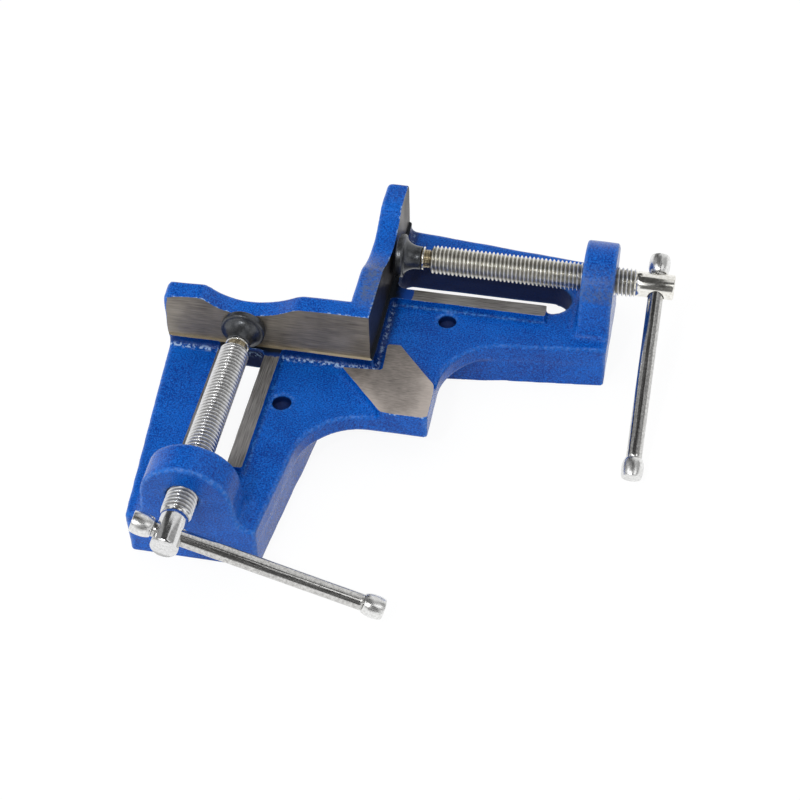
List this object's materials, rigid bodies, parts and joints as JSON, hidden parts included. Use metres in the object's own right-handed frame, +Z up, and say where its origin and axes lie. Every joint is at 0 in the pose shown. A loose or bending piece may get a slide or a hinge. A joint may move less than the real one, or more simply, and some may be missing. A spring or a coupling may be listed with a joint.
{
  "type": "corner clamp",
  "caption": "Cast corner clamp: right-angled fence on a base with slotted arms; screws with tommy bars press swivel pads against the fence.",
  "frame": {"origin": "on the base plane, under the corner where the two ground faces of the fence meet", "axes": "+Z up from the bench; +X along the right screw, away from the fence; -Y along the left screw, away from the fence"},
  "size_m": [0.2387, 0.2387, 0.061],
  "materials": {
    "blue_enamel": "speckled gloss enamel",
    "machined_iron": "ground, bare",
    "zinc_plate": "bright zinc plate",
    "black_oxide": "glossy black oxide",
    "bright_steel": "bright plated"
  },
  "bodies": {
    "casting": {"cast_body": "blue_enamel"},
    "left_collar": {"left_neck_ring": "zinc_plate"},
    "left_screw": {"left_clamp_screw": "zinc_plate"},
    "left_pad": {"left_swivel_pad": "black_oxide"},
    "left_handle": {"left_tommy_bar": "bright_steel", "left_short_knob": "bright_steel", "left_long_knob": "bright_steel"},
    "right_collar": {"right_neck_ring": "zinc_plate"},
    "right_screw": {"right_clamp_screw": "zinc_plate"},
    "right_pad": {"right_swivel_pad": "black_oxide"},
    "right_handle": {"right_tommy_bar": "bright_steel", "right_short_knob": "bright_steel", "right_long_knob": "bright_steel"}
  },
  "joints": [
    {"name": "left_travel", "type": "slide", "parent": "casting", "child": "left_collar", "axis": [0, -1, 0], "range_m": [-0.0008, 0.0792]},
    {"name": "left_turn", "type": "hinge", "parent": "left_collar", "child": "left_screw", "pos_m": [-0.0608, -0.1303, 0.042], "axis": [0, -1, 0], "range_deg": [-144, 14256]},
    {"name": "left_bar_slide", "type": "slide", "parent": "left_screw", "child": "left_handle", "axis": [-0.9454, 0, 0.3259], "range_m": [-0.0011, 0.0829]},
    {"name": "left_pad_tilt", "type": "hinge", "parent": "left_collar", "child": "left_pad", "pos_m": [-0.0608, -0.0109, 0.042], "axis": [0, 0, 1], "range_deg": [-5, 5]},
    {"name": "right_travel", "type": "slide", "parent": "casting", "child": "right_collar", "axis": [1, 0, 0], "range_m": [-0.0008, 0.0792]},
    {"name": "right_turn", "type": "hinge", "parent": "right_collar", "child": "right_screw", "pos_m": [0.1303, 0.0608, 0.042], "axis": [1, 0, 0], "range_deg": [-144, 14256]},
    {"name": "right_bar_slide", "type": "slide", "parent": "right_screw", "child": "right_handle", "axis": [0, 0.9263, 0.3768], "range_m": [0, 0.084]},
    {"name": "right_pad_tilt", "type": "hinge", "parent": "right_collar", "child": "right_pad", "pos_m": [0.0109, 0.0608, 0.042], "axis": [0, 0, 1], "range_deg": [-5, 5]}
  ],
  "couplings": [
    {"joint": "left_travel", "follows": "left_turn", "m_per_rad": 0.0003183},
    {"joint": "right_travel", "follows": "right_turn", "m_per_rad": 0.0003183}
  ]
}
